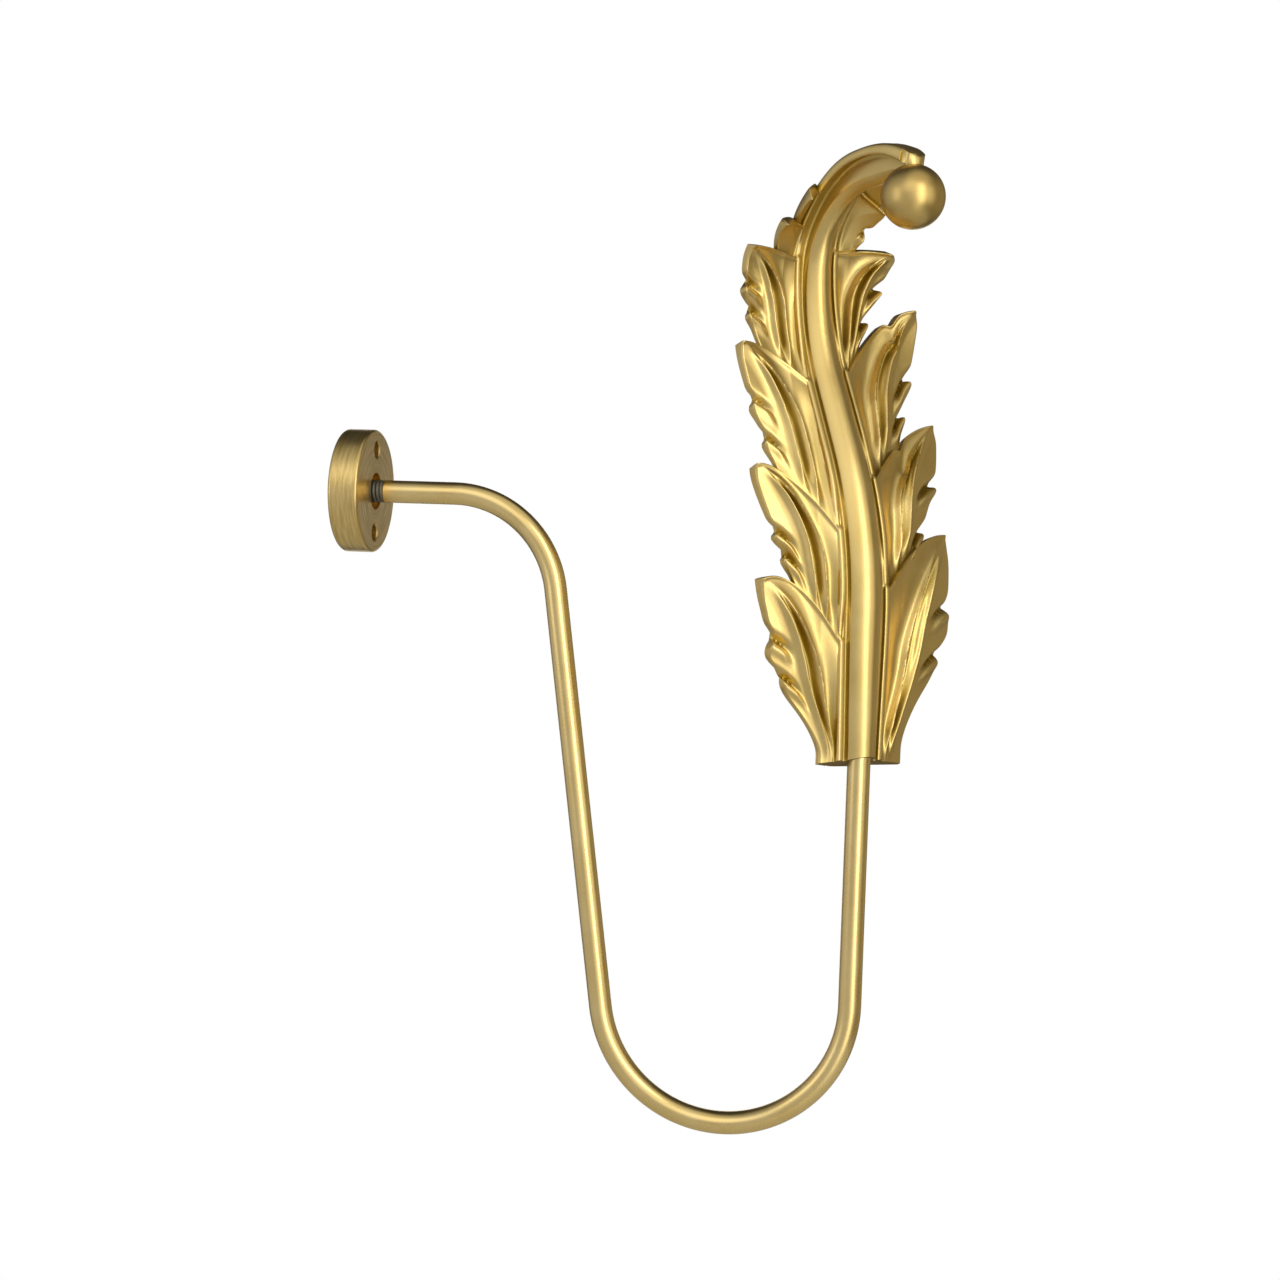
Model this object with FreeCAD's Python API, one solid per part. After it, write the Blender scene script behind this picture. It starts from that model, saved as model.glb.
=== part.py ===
import FreeCAD, Part
import math
import os
from collections import namedtuple

from FreeCAD import Vector

# Curtain holdback: a turned wall plate, a bent rod, and a cast acanthus leaf with a curled tip over a ball.
# Millimetres. The origin is the centre of the plate's back face, X runs out of the wall and Z is up.

Lobe = namedtuple("Lobe", "corner top reach start power arch tip notches dip")

# Wall plate
PLATE_DIAMETER = 40.0
PLATE_THICKNESS = 10.0
PLATE_BACK_FILLET = 1.2
PLATE_FRONT_FILLET = 1.0
PLATE_COUNTERBORE_DIAMETER = 12.0
PLATE_COUNTERBORE_DEPTH = 3.5
SCREW_HOLE_DIAMETER = 5.5
SCREW_HOLE_SPACING = 27.0
SCREW_HOLE_CHAMFER = 0.4

# Bent rod, measured along its centre line
ROD_DIAMETER = 7.4
ROD_TO_WALL_GAP = 2.0
REACH = 171.6
UPPER_BEND_RADIUS = 35.0
LEG_LEAN = math.radians(8.3)
U_RADIUS = 40.5
HOOK_DROP = 198.0
THREAD_CLEARANCE = 0.05

# Leaf: its place on the rod, and the stem's line from the foot to the lip
FOOT_HEIGHT = -80.0
LEAF_TURN = math.radians(45.0)
FOOT_SLANT = math.radians(18.0)
SOCKET_DEPTH = 24.0
SOCKET_CLEARANCE = 0.05
FOOT_RUN = 45.0
BACK_BEND_RADIUS = 120.0
BACK_LEAN = math.radians(26.0)
LEAN_RUN = 24.0
FORWARD_BEND_RADIUS = 85.0
CURL_RADIUS = 26.5
CURL_TURN = math.radians(90.0)
LIP_RUN = 24.0
LIP_TURN = math.radians(12.0)
LIP_WASTE_DEPTH = 14.0
FOOT_SPARE = 8.0

# Leaf: sizes that change along the stem, as pairs of distance from the foot and size
STEM_HALF_WIDTH = [(0, 5.2), (40, 6.2), (120, 5.6), (190, 4.2), (212, 3.4), (228, 2.0)]
STEM_HEIGHT = [(0, 5.0), (120, 4.6), (195, 3.6), (211, 2.8), (218, -2.6), (230, -3.0)]
STEM_BACK = [(0, -7.8), (35, -7.6), (70, -5.2), (150, -5.2), (185, -4.8), (202, -8.2), (214, -10.4),
             (221, -9.6), (225, -8.0), (230, -4.8)]
RIM_HEIGHT = [(0, 0.9), (130, 0.9), (160, 0.2), (185, -0.9), (202, -4.6), (214, -7.2), (221, -6.8),
              (225, -5.8), (230, -4.0)]
LOBE_SWEEP = [(0, 19), (85, 19), (130, 0), (165, -8), (180, -35), (215, -50)]
LOBE_THICKNESS = [(0, 7.0), (20, 4.6), (45, 3.0), (230, 3.0)]
ROLL_RISE = [(0, 3.5), (150, 3.3), (190, 2.4), (211, 3.0), (218, 1.5), (230, 1.0)]
EDGE_SHARE = [(0, 1.0), (200, 1.0), (230, 0.42)]
BACK_CROWN = 1 / 3
GROOVE_WIDTH = 1.6
GROOVE_DEPTH = 1.3
RIM_WIDTH = 2.2
RIM_DROP = 0.7
STEM_POLES = 26

# Leaf: each lobe's corner and top along the stem, its reach and the start of its outer edge from the stem's
# middle, how that edge fills out, how far round its upper edge arches, how much its tip is rounded, the
# notches in its outer edge, and the place of a dip in its upper edge, 0 for none
LEFT_LOBES = [
    Lobe(38, 58, 35.5, 13.8, 1.6, 0.62, 0.03, (0.54, 0.71), 0),
    Lobe(73, 95.5, 33.5, 21.7, 1.3, 0.54, 0.01, (0.33, 0.50), 0),
    Lobe(124, 135.5, 33, 24, 1.3, 0.58, 0.01, (0.35, 0.61), 0),
    Lobe(165, 167.5, 29.5, 22, 2.2, 0.58, 0.01, (0.45, 0.68), 0),
    Lobe(175, 178, 19.5, 15, 1.6, 0.5, 0.01, (), 0),
    Lobe(187, 188.5, 13.5, 11, 1.6, 0.5, 0.01, (), 0),
]
RIGHT_LOBES = [
    Lobe(55, 75, 45, 21, 0.3, 0.52, 0.05, (0.51, 0.695), 0),
    Lobe(91, 112.5, 43.5, 25, 2.6, 0.5, 0.05, (0.21, 0.57), 25),
    Lobe(129, 151, 40, 23, 1.8, 0.52, 0.05, (0.30, 0.52), 29),
    Lobe(168, 170.5, 28.5, 12, 2.0, 0.5, 0.12, (0.33, 0.59), 0),
    Lobe(189, 188, 16.5, 14, 1.6, 0.5, 0.05, (), 0),
    Lobe(208, 206, 16, 14, 1.6, 0.5, 0.05, (), 0),
]
EDGE_DIP_DEPTH = 2.4
EDGE_DIP_WIDTH = 2.2
LOBE_TUCK = 4.0
LOBE_EDGE = 2.8
LOBE_LEAST = 0.9
LOBE_BACK_TUCK = 0.9
BACK_TUCK_END = 0.2
LOBE_ROOT = 0.9
LOBE_DROP = 0.8
LOBE_STEP = 2.4
LOBE_TILT_START = 0.25
LOBE_POLES = 24
SMALL_POLES = 10
FLARE_START = 4.0
FLARE_END = 0.54
FLARE_PART = 0.5
TIP_START = 0.85

# Leaf: carving of a lobe. Places of ridges are shares of the fan that opens from the lobe's root, heights and
# widths are in millimetres
NOTCH_DEPTH = 2.2
NOTCH_WIDTH = 0.045
LOBULE_HEIGHT = 2.0
LOBULE_OFFSET = 0.09
CARVING_START = 0.45
HOLLOW_DEPTH = 1.3
SMALL_HOLLOW_DEPTH = 0.6
FIRST_RIDGE = (0.28, 0.40)
SECOND_RIDGE = (0.455, 0.51)
RIDGE_HEIGHT = 1.0
RIDGE_WIDTH = 1.4
RIDGE_START = 0.2
RIDGE_END = 1.1
RIDGE_TAPER = 0.25
VALLEY_DEPTH = 1.6
VALLEY_WIDTH = 1.3
SHOULDER_DROP = 0.6
SHOULDER_WIDTH = 0.2
POCKET_DEPTH = 2.0
POCKET_WIDTH = 1.5
POCKET_START = 0.55
FINGER_HEIGHT = 0.7
FINGER_OFFSET = 2.8
UPPER_BEAD = 0.6
UPPER_BEAD_WIDTH = 1.5

# Tolerances for joining faces
SEW_TOLERANCE = 0.001
PLANE_TOLERANCE = 0.01

# Ball
BALL_DIAMETER = 20.0
BALL_FORWARD = 16.2
BALL_HEIGHT = 174.8
BALL_CLEARANCE = 0.05
SPIGOT_DIAMETER = 4.0
SPIGOT_LENGTH = 2.4
SPIGOT_CLEARANCE = 0.05

FORWARD = Vector(math.sin(LEAF_TURN), -math.cos(LEAF_TURN), 0)
SIDEWAYS = Vector(math.cos(LEAF_TURN), math.sin(LEAF_TURN), 0)
UP = Vector(0, 0, 1)
FOOT = Vector(REACH, 0, FOOT_HEIGHT)


def round_edges(shape):
    """Circular edges of a turned shape, from the wall outwards."""
    circles = [edge for edge in shape.Edges if isinstance(edge.Curve, Part.Circle)]
    return sorted(circles, key=lambda edge: edge.CenterOfMass.x)


def wall_plate():
    """Turned disc with a stepped bore for the rod and two screw holes, one above the other."""
    plate = Part.makeCylinder(PLATE_DIAMETER / 2, PLATE_THICKNESS, Vector(0, 0, 0), Vector(1, 0, 0))
    plate = plate.makeFillet(PLATE_BACK_FILLET, [round_edges(plate)[0]])
    plate = plate.makeFillet(PLATE_FRONT_FILLET, [round_edges(plate)[-1]])
    bore_radius = ROD_DIAMETER / 2 + THREAD_CLEARANCE
    plate = plate.cut(Part.makeCylinder(bore_radius, PLATE_THICKNESS, Vector(0, 0, 0), Vector(1, 0, 0)))
    recess_floor = PLATE_THICKNESS - PLATE_COUNTERBORE_DEPTH
    plate = plate.cut(Part.makeCylinder(PLATE_COUNTERBORE_DIAMETER / 2, PLATE_COUNTERBORE_DEPTH,
                                        Vector(recess_floor, 0, 0), Vector(1, 0, 0)))
    for side in (-1, 1):
        centre = Vector(0, 0, side * SCREW_HOLE_SPACING / 2)
        hole_radius = SCREW_HOLE_DIAMETER / 2
        plate = plate.cut(Part.makeCylinder(hole_radius, PLATE_THICKNESS, centre, Vector(1, 0, 0)))
        mouth = centre + Vector(PLATE_THICKNESS - SCREW_HOLE_CHAMFER, 0, 0)
        plate = plate.cut(Part.makeCone(hole_radius, hole_radius + SCREW_HOLE_CHAMFER, SCREW_HOLE_CHAMFER,
                                        mouth, Vector(1, 0, 0)))
    return plate.Solids[0]


def rod():
    """Round rod swept along straight runs and tangent arcs in the XZ plane."""
    u_centre = Vector(REACH - U_RADIUS, 0, U_RADIUS - HOOK_DROP)
    leg_direction = Vector(math.sin(LEG_LEAN), 0, -math.cos(LEG_LEAN))
    leg_outward = Vector(-math.cos(LEG_LEAN), 0, -math.sin(LEG_LEAN))
    leg_end = u_centre + leg_outward * U_RADIUS
    corner = leg_end - leg_direction * (leg_end.z / leg_direction.z)
    tangent = UPPER_BEND_RADIUS * math.tan((math.pi / 2 - LEG_LEAN) / 2)
    bend_start = corner - Vector(tangent, 0, 0)
    leg_start = corner + leg_direction * tangent
    bend_centre = bend_start - UP * UPPER_BEND_RADIUS
    bend_middle = bend_centre + (corner - bend_centre).normalize() * UPPER_BEND_RADIUS
    wall_end = Vector(ROD_TO_WALL_GAP, 0, 0)
    u_end = u_centre + Vector(U_RADIUS, 0, 0)
    leaf_end = FOOT + UP * SOCKET_DEPTH
    path = Part.Wire([
        Part.LineSegment(wall_end, bend_start).toShape(),
        Part.Arc(bend_start, bend_middle, leg_start).toShape(),
        Part.LineSegment(leg_start, leg_end).toShape(),
        Part.Arc(leg_end, u_centre - UP * U_RADIUS, u_end).toShape(),
        Part.LineSegment(u_end, leaf_end).toShape(),
    ])
    section = Part.Wire([Part.makeCircle(ROD_DIAMETER / 2, wall_end, Vector(1, 0, 0))])
    return path.makePipeShell([section], True, False)


def along(stations, s):
    """Size at distance s from the foot, read between the stations."""
    if s <= stations[0][0]:
        return stations[0][1]
    for (s0, v0), (s1, v1) in zip(stations, stations[1:]):
        if s <= s1:
            t = (s - s0) / (s1 - s0)
            return v0 + (v1 - v0) * t
    return stations[-1][1]


STEM_STRETCHES = [
    (FOOT_RUN, 0.0),
    (BACK_BEND_RADIUS * BACK_LEAN, BACK_LEAN),
    (LEAN_RUN, 0.0),
    (FORWARD_BEND_RADIUS * BACK_LEAN, -BACK_LEAN),
    (CURL_RADIUS * CURL_TURN, -CURL_TURN),
    (LIP_RUN, -LIP_TURN),
]
STEM_LENGTH = sum(length for length, turn in STEM_STRETCHES)


def stem_place(s):
    """Place forward of and above the foot, and lean back, at distance s along the stem."""
    forward = 0.0
    height = 0.0
    lean = 0.0
    left = s
    for index, (length, turn) in enumerate(STEM_STRETCHES):
        last = index == len(STEM_STRETCHES) - 1
        step = left if last else min(left, length)
        if turn == 0.0:
            forward -= math.sin(lean) * step
            height += math.cos(lean) * step
        else:
            radius = length / turn
            new_lean = lean + step / radius
            forward += radius * (math.cos(new_lean) - math.cos(lean))
            height += radius * (math.sin(new_lean) - math.sin(lean))
            lean = new_lean
        left -= step
        if left <= 0:
            break
    return forward, height, lean


def leaf_point(s, y, n):
    """Point at distance s along the stem, y to its right and n in front of it."""
    forward, height, lean = stem_place(s)
    facing = FORWARD * math.cos(lean) + UP * math.sin(lean)
    return FOOT + FORWARD * forward + UP * height + SIDEWAYS * y + facing * n


def pole_places(count):
    """Evenly knotted places of count poles on a cubic from 0 to 1."""
    degree = min(3, count - 1)
    spans = count - degree
    knots = [0.0] * degree + [k / spans for k in range(spans + 1)] + [1.0] * degree
    return [sum(knots[i + 1:i + 1 + degree]) / degree for i in range(count)]


def patch(rows):
    """Smooth face over a net of poles, straight across where the net has only two rows."""
    sizes = (len(rows), len(rows[0]))
    degrees = [min(3, size - 1) for size in sizes]
    knots = [[k / (size - degree) for k in range(size - degree + 1)] for size, degree in zip(sizes, degrees)]
    mults = [[degree + 1] + [1] * (len(knot) - 2) + [degree + 1] for knot, degree in zip(knots, degrees)]
    surface = Part.BSplineSurface()
    surface.buildFromPolesMultsKnots(rows, mults[0], mults[1], knots[0], knots[1], False, False, *degrees)
    return surface.toShape()


def solid_of(faces):
    """Closed solid sewn from faces that share their edges."""
    sewn = Part.makeCompound(faces)
    sewn.sewShape(SEW_TOLERANCE)
    solid = Part.Solid(sewn.Shells[0])
    if solid.Volume < 0:
        solid.reverse()
    return solid


def rim_edge(s):
    """Outer side of the raised rim beside the stem's groove."""
    return along(STEM_HALF_WIDTH, s) + (GROOVE_WIDTH + RIM_WIDTH) * along(EDGE_SHARE, s)


def stem_strips(s):
    """Strips of the stem's section at s, as poles across it: roll, groove walls, rims, sides and back."""
    half = along(STEM_HALF_WIDTH, s)
    height = along(STEM_HEIGHT, s)
    back = along(STEM_BACK, s)
    rim = along(RIM_HEIGHT, s)
    outer = rim_edge(s)
    rise = along(ROLL_RISE, s)
    roll_edge = height - rise
    groove = min(rim, roll_edge) - GROOVE_DEPTH
    groove_width = GROOVE_WIDTH * along(EDGE_SHARE, s)
    groove_middle = half + groove_width / 2
    rim_inner = half + groove_width
    rim_low = rim - RIM_DROP
    side = (rim_low + back) / 2
    crown = roll_edge + rise * 4 / 3
    roll = [(-half, roll_edge), (-half / 3, crown), (half / 3, crown), (half, roll_edge)]
    hollow = back + BACK_CROWN * (back - side)
    rear = [(-outer, side), (-outer, hollow), (outer, hollow), (outer, side)]
    strips = [roll, rear]
    right = [
        [(half, roll_edge), (groove_middle, groove)],
        [(groove_middle, groove), (rim_inner, rim)],
        [(rim_inner, rim), (outer, rim), (outer, rim_low)],
        [(outer, rim_low), (outer, side)],
    ]
    for strip in right:
        strips.append(strip)
        strips.append([(-y, n) for y, n in strip])
    return strips


def stem():
    """Bar of the leaf: domed roll between two grooves and rims, with a rounded back."""
    places = [-FOOT_SPARE + (STEM_LENGTH + FOOT_SPARE) * t for t in pole_places(STEM_POLES)]
    sections = [stem_strips(s) for s in places]
    faces = []
    for index in range(len(sections[0])):
        rows = [[leaf_point(s, y, n) for y, n in strips[index]] for s, strips in zip(places, sections)]
        faces.append(patch(rows))
    strips = list(faces)
    for s in (places[0], places[-1]):
        middle = leaf_point(s, 0, 0)
        tangent = (leaf_point(s + 1, 0, 0) - leaf_point(s - 1, 0, 0)).normalize()
        edges = [edge for strip in strips for edge in strip.Edges]
        ends = [edge for edge in edges
                if all(abs((end.Point - middle).dot(tangent)) < PLANE_TOLERANCE for end in edge.Vertexes)]
        faces.append(Part.Face(Part.Wire(Part.sortEdges(ends)[0])))
    return solid_of(faces)


def smooth(t):
    """Smooth step from 0 to 1."""
    t = min(1.0, max(0.0, t))
    return t * t * (3 - 2 * t)


def bell(distance, width):
    """Smooth bump, 1 in its middle."""
    return math.exp(-(distance / width) ** 2)


def edge_height(lobe, y):
    """Height along the stem of a lobe's upper edge, y from the stem's middle."""
    inner = rim_edge(lobe.corner)
    share = (y - inner) / (lobe.reach - inner)
    height = lobe.corner + (lobe.top - lobe.corner) * math.sin(lobe.arch * math.pi * share)
    if lobe.dip:
        height -= EDGE_DIP_DEPTH * bell(y - lobe.dip, EDGE_DIP_WIDTH)
    return height


def outline(p, lobe, at_foot):
    """Outer edge of a lobe from its lower end, p = 0, to its tip, p = 1, with notches and lobules."""
    if at_foot:
        s = p * (lobe.top + FOOT_SPARE) - FOOT_SPARE
        flare = smooth((s - FLARE_START) / (FLARE_END * lobe.top - FLARE_START))
        rise = flare * (FLARE_PART + (1 - FLARE_PART) * p ** lobe.power)
    else:
        rise = 1 - (1 - p) ** lobe.power
    y = lobe.start + (lobe.reach - lobe.start) * rise
    for place in lobe.notches:
        y -= NOTCH_DEPTH * bell(p - place, NOTCH_WIDTH)
        y += LOBULE_HEIGHT * bell(p - place + LOBULE_OFFSET, NOTCH_WIDTH)
    return y - lobe.tip * lobe.reach * max(0.0, (p - TIP_START) / (1 - TIP_START)) ** 2


def relief(p, q, length, width, notches):
    """Carved face of a lobe over its ground: a hollow by the stem, two ridges and pockets at the notches."""
    fan = q / (p + q) if p + q > 0 else 0.0
    radius = math.hypot(p, q)
    scale = radius * (length + width)
    tilt = LOBE_STEP * (p - 0.5) * min(1.0, q / LOBE_TILT_START)
    spread = smooth(radius / CARVING_START)
    first, second = [low + (high - low) * smooth(radius) for low, high in (FIRST_RIDGE, SECOND_RIDGE)]
    hollow = math.sin(math.pi * min(1.0, fan / first)) * spread
    if not notches:
        return tilt - SMALL_HOLLOW_DEPTH * hollow
    ends = smooth((radius - RIDGE_START) / RIDGE_TAPER) * smooth((RIDGE_END - radius) / RIDGE_TAPER)
    height = tilt - HOLLOW_DEPTH * hollow
    for place in (first, second):
        height += RIDGE_HEIGHT * bell((fan - place) * scale, RIDGE_WIDTH) * ends
    height -= VALLEY_DEPTH * bell((fan - (first + second) / 2) * scale, VALLEY_WIDTH) * ends
    height -= SHOULDER_DROP * smooth((fan - second) / SHOULDER_WIDTH) * spread
    for place in notches:
        below = (fan - 1 / (1 + place)) * scale
        outward = smooth((q - POCKET_START) / (1 - POCKET_START))
        height -= POCKET_DEPTH * bell(below, POCKET_WIDTH) * outward
        height += FINGER_HEIGHT * bell(below - FINGER_OFFSET, POCKET_WIDTH) * outward
    return height + UPPER_BEAD * bell((1 - p) * length, UPPER_BEAD_WIDTH)


def wing_ground(s, y):
    """Face of the leaf beside the stem, swept back or cupped forward, without the carving."""
    beyond = max(0.0, y - rim_edge(s))
    return along(RIM_HEIGHT, s) - LOBE_DROP - math.tan(math.radians(along(LOBE_SWEEP, s))) * beyond


def lobe_solid(side, lobe, lower):
    """One lobe of the leaf: a carved face on a smooth back, tucked under the lobe below it."""
    inner_top = rim_edge(lobe.corner) - LOBE_ROOT
    inner_bottom = rim_edge(lower.corner if lower else 0) - LOBE_ROOT
    poles = LOBE_POLES if lobe.notches else SMALL_POLES
    front = []
    rear = []
    for p in pole_places(poles):
        y_inner = inner_bottom + (inner_top - inner_bottom) * p
        y_outer = outline(p, lobe, lower is None)
        tuck = LOBE_BACK_TUCK * max(0.0, 1 - p / BACK_TUCK_END) if lower else 0.0
        front_row = []
        rear_row = []
        for q in pole_places(poles):
            y = y_inner + q * (y_outer - y_inner)
            low = edge_height(lower, y) - LOBE_TUCK if lower else -FOOT_SPARE
            length = edge_height(lobe, y) - low
            s = low + p * length
            ground = wing_ground(s, y)
            face = ground + relief(p, q, length, y_outer - y_inner, lobe.notches)
            thickness = LOBE_EDGE + (along(LOBE_THICKNESS, s) - LOBE_EDGE) * (1 - q)
            front_row.append(leaf_point(s, side * y, face))
            rear_row.append(leaf_point(s, side * y, min(ground - thickness + tuck, face - LOBE_LEAST)))
        front.append(front_row)
        rear.append(rear_row)
    faces = [patch(front), patch(rear)]
    for end in (0, -1):
        faces.append(patch([front[end], rear[end]]))
        faces.append(patch([[row[end] for row in front], [row[end] for row in rear]]))
    return solid_of(faces)


def ball_centre():
    """Middle of the ball, under the lip."""
    return FOOT + FORWARD * BALL_FORWARD + UP * BALL_HEIGHT


def ball():
    """Turned ball with a short spigot that stands up into the lip."""
    centre = ball_centre()
    sphere = Part.makeSphere(BALL_DIAMETER / 2, centre)
    spigot = Part.makeCylinder(SPIGOT_DIAMETER / 2, BALL_DIAMETER / 2 + SPIGOT_LENGTH, centre, UP)
    return sphere.fuse(spigot).removeSplitter().Solids[0]


def foot_waste():
    """Block below the slanted foot, which rises towards the front."""
    size = 4 * max(lobe.reach for lobe in LEFT_LOBES + RIGHT_LOBES)
    block = Part.makeBox(size, size, FOOT_SPARE * 4, Vector(-size / 2, -size / 2, -FOOT_SPARE * 4))
    block.rotate(Vector(0, 0, 0), SIDEWAYS, -math.degrees(FOOT_SLANT))
    block.translate(FOOT)
    return block


def lip_waste():
    """Corners outside the half-round end of the lip."""
    radius = rim_edge(STEM_LENGTH)
    start = STEM_LENGTH - radius
    middle = leaf_point(start, 0, 0)
    facing = leaf_point(start, 0, 1) - middle
    tangent = (leaf_point(start + 1, 0, 0) - middle).normalize()
    across = tangent.cross(facing)
    depth = LIP_WASTE_DEPTH
    corner = middle - facing * depth - across * (2 * radius)
    block = Part.makeBox(4 * radius, 3 * radius, 2 * depth)
    block.Placement = FreeCAD.Placement(corner, FreeCAD.Rotation(across, tangent, facing, "ZXY"))
    return block.cut(Part.makeCylinder(radius, 2 * depth, middle - facing * depth, facing))


def leaf():
    """Cast leaf in one piece: stem and lobes, a socket for the rod and a seat for the ball."""
    pieces = []
    for side, lobes in ((-1, LEFT_LOBES), (1, RIGHT_LOBES)):
        for lower, lobe in zip([None] + lobes, lobes):
            pieces.append(lobe_solid(side, lobe, lower))
    body = stem().multiFuse(pieces)
    socket_start = FOOT - UP * FOOT_SPARE
    socket_radius = ROD_DIAMETER / 2 + SOCKET_CLEARANCE
    socket = Part.makeCylinder(socket_radius, SOCKET_DEPTH + FOOT_SPARE, socket_start, UP)
    centre = ball_centre()
    seat = Part.makeSphere(BALL_DIAMETER / 2 + BALL_CLEARANCE, centre)
    hole_radius = SPIGOT_DIAMETER / 2 + SPIGOT_CLEARANCE
    hole = Part.makeCylinder(hole_radius, BALL_DIAMETER / 2 + SPIGOT_LENGTH, centre, UP)
    for waste in (foot_waste(), lip_waste(), socket, seat, hole):
        body = body.cut(waste)
    return body.Solids[0]


def main():
    os.makedirs("parts", exist_ok=True)
    nodes = {"wall_plate": wall_plate(), "rod": rod(), "leaf": leaf(), "ball": ball()}
    for name, shape in nodes.items():
        print(name, shape.ShapeType, shape.isValid(), round(shape.Volume, 1))
        shape.exportStep("parts/" + name + ".step")


main()
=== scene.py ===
import math
from collections import namedtuple

import bpy
import bmesh
import numpy as np
from mathutils import Matrix, Vector


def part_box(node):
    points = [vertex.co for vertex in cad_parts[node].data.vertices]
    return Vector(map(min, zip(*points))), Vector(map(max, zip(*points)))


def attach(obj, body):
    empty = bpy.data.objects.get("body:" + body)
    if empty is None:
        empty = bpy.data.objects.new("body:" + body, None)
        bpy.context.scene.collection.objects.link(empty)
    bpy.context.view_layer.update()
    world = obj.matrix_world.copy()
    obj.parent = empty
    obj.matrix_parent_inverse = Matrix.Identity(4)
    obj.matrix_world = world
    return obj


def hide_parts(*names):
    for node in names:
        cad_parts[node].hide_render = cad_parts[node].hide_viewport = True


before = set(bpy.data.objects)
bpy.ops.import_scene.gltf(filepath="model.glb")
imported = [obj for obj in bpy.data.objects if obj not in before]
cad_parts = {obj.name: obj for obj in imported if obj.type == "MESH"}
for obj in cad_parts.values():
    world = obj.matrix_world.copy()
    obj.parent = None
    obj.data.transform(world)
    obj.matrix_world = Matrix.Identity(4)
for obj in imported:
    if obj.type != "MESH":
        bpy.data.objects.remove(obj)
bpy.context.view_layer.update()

# Curtain holdback: turned wall plate, bent rod, cast acanthus leaf and ball. The leaf and the rod are
# modelled here in millimetres, with their fine carving and thread, and stand for the CAD solids of the same
# form. The plate and the ball keep their CAD solids and only get a finish.

MM = 0.001
Lobe = namedtuple("Lobe", "corner top reach start power arch tip notches dip")
# The third colour of a finish is painted shade for its hollows.
Finish = namedtuple("Finish", "colour dark deep roughness grain_scale grain_height")
Panel = namedtuple("Panel", "azimuth elevation inner outer colour")
Lamp = namedtuple("Lamp", "name azimuth elevation distance width height power")

# Rod, along its centre line
ROD_RADIUS = 3.7
ROD_SKIN = 0.02
ROD_START = 2.0
REACH = 171.6
UPPER_BEND_RADIUS = 35.0
LEG_LEAN = math.radians(8.3)
U_RADIUS = 40.5
HOOK_DROP = 198.0
THREAD_END = 13.5
THREAD_PITCH = 1.25
THREAD_DEPTH = 0.2

# Rod: sides of its section, rings in a turn of the thread and in each stretch, and the angle in degrees from
# which an edge stays sharp
ROD_SIDES = 64
THREAD_STEPS = 12
RUN_RINGS = 10
BEND_RINGS = 40
LEG_RINGS = 24
U_RINGS = 80
RISE_RINGS = 24
ROD_SHARP_ANGLE = 50

# Leaf: place and stem line, as stretches with a length and a turn backwards
FOOT_HEIGHT = -80.0
LEAF_TURN = math.radians(45.0)
FOOT_RUN = 45.0
BACK_BEND_RADIUS = 120.0
BACK_LEAN = math.radians(26.0)
LEAN_RUN = 24.0
FORWARD_BEND_RADIUS = 85.0
CURL_RADIUS = 26.5
CURL_TURN = math.radians(90.0)
LIP_RUN = 24.0
LIP_TURN = math.radians(12.0)
STEM_STRETCHES = [
    (FOOT_RUN, 0.0),
    (BACK_BEND_RADIUS * BACK_LEAN, BACK_LEAN),
    (LEAN_RUN, 0.0),
    (FORWARD_BEND_RADIUS * BACK_LEAN, -BACK_LEAN),
    (CURL_RADIUS * CURL_TURN, -CURL_TURN),
    (LIP_RUN, -LIP_TURN),
]
STEM_LENGTH = sum(length for length, turn in STEM_STRETCHES)
STEM_RINGS = 260
LEAF_SHARP_ANGLE = 62

# Leaf: foot and lip. The casting starts FOOT_SPARE below the foot, and a slanted block cuts it off at the
# foot. The cut face, which gets a dark dull painted shade, is what looks the cut's way, by a cosine of
# FOOT_FACE_LEAST or more, below FOOT_TOP. Blocks of waste are WASTE_FACTOR times the size of what they cut
FOOT_SLANT = math.radians(18.0)
FOOT_SPARE = 8.0
FOOT_FACE_RISE = 12.0
FOOT_TOP = FOOT_HEIGHT + FOOT_FACE_RISE
FOOT_FACE_LEAST = 0.99
SOCKET_DEPTH = 24.0
LIP_TRIM = 1.4
LIP_ROUNDING = 5.0
LIP_FALL = 1.6
LIP_WASTE_DEPTH = 14.0
WASTE_FACTOR = 4
CUTTER_SIDES = 64

# Leaf: sizes along the stem, as pairs of distance from the foot and size
STEM_HALF_WIDTH = [(0, 5.2), (40, 6.2), (120, 5.6), (190, 4.2), (212, 3.4), (228, 2.0)]
STEM_HEIGHT = [(0, 5.0), (120, 4.6), (195, 3.6), (211, 2.8), (218, -0.8), (230, -1.0)]
STEM_BACK = [(0, -7.8), (35, -7.6), (70, -5.2), (150, -5.2), (185, -4.8), (202, -8.2), (214, -10.4),
             (221, -9.6), (225, -8.0), (230, -4.8)]
RIM_HEIGHT = [(0, 0.9), (130, 0.9), (160, 0.2), (185, -0.9), (202, -4.6), (214, -6.8), (221, -4.6),
              (225, -2.6), (230, -1.6)]
LOBE_SWEEP = [(0, 19), (85, 19), (130, 0), (165, -8), (180, -35), (215, -50)]
LOBE_THICKNESS = [(0, 7.0), (20, 4.6), (45, 3.0), (230, 3.0)]
ROLL_RISE = [(0, 3.5), (150, 3.3), (190, 2.4), (211, 3.0), (218, 1.5), (230, 1.0)]
EDGE_SHARE = [(0, 1.0), (200, 1.0), (230, 0.42)]
GROOVE_DEPTH = [(0, 1.3), (210, 1.3), (220, 0.1), (230, 0.1)]
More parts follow.
